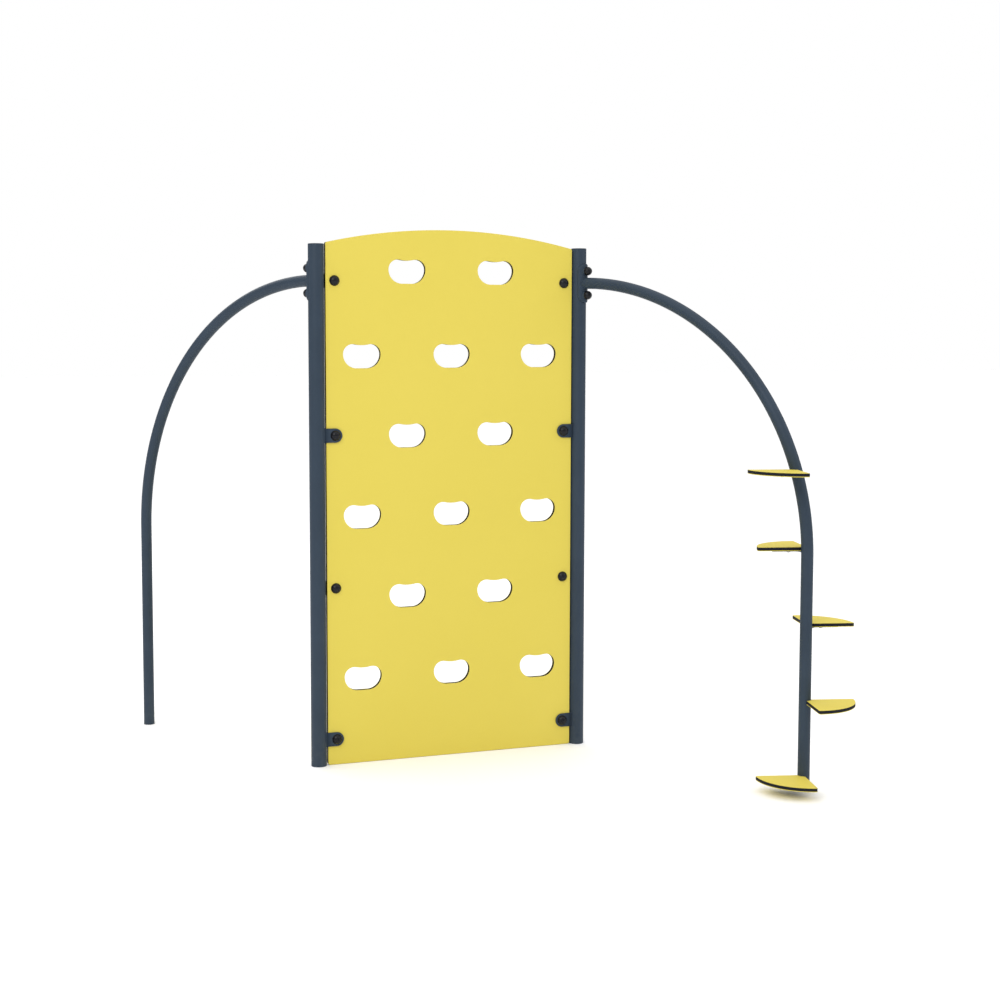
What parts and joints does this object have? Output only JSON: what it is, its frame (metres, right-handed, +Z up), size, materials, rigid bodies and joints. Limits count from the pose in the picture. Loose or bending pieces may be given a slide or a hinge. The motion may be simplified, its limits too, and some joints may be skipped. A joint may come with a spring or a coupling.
{
  "type": "playground climbing wall",
  "caption": "Upright climbing board with bean-shaped hand and foot openings between round posts, with bent tube arches down to the ground and quarter-round steps on one arch.",
  "frame": {"origin": "centre of the left post's foot, at ground level", "axes": "+X along the wall from the left post to the right post, +Y from the wall's front to its back, +Z up; the front of the wall faces -Y"},
  "size_m": [2.3133, 1.9914, 2.0599],
  "materials": {
    "steel": "satin powder coat, blue grey",
    "board": "yellow skins on a dark grey core, fine orange-peel texture",
    "step": "yellow skins on a dark grey core, fine orange-peel texture",
    "cover": "moulded black caps, glossy",
    "zinc": "zinc plated"
  },
  "bodies": {
    "root": {"left_post": "steel", "right_post": "steel", "left_post_cap": "steel", "right_post_cap": "steel", "wall_board": "board", "left_tab_1": "steel", "left_tab_2": "steel", "left_tab_3": "steel", "left_tab_4": "steel", "right_tab_1": "steel", "right_tab_2": "steel", "right_tab_3": "steel", "right_tab_4": "steel", "board_bolts": "zinc", "board_washers": "zinc", "board_nuts": "zinc", "board_bolt_covers": "cover", "board_nut_covers": "cover", "left_flange": "steel", "right_flange": "steel", "flange_inserts": "zinc", "flange_saddle_washers": "steel", "flange_bolts": "zinc", "flange_bolt_covers": "cover", "left_arch_tube": "steel", "right_arch_tube": "steel", "step_plate_1": "steel", "step_plate_2": "steel", "step_plate_3": "steel", "step_plate_4": "steel", "step_plate_5": "steel", "step_1": "step", "step_2": "step", "step_3": "step", "step_4": "step", "step_5": "step", "step_inserts": "zinc", "step_screws": "zinc"}
  },
  "joints": []
}
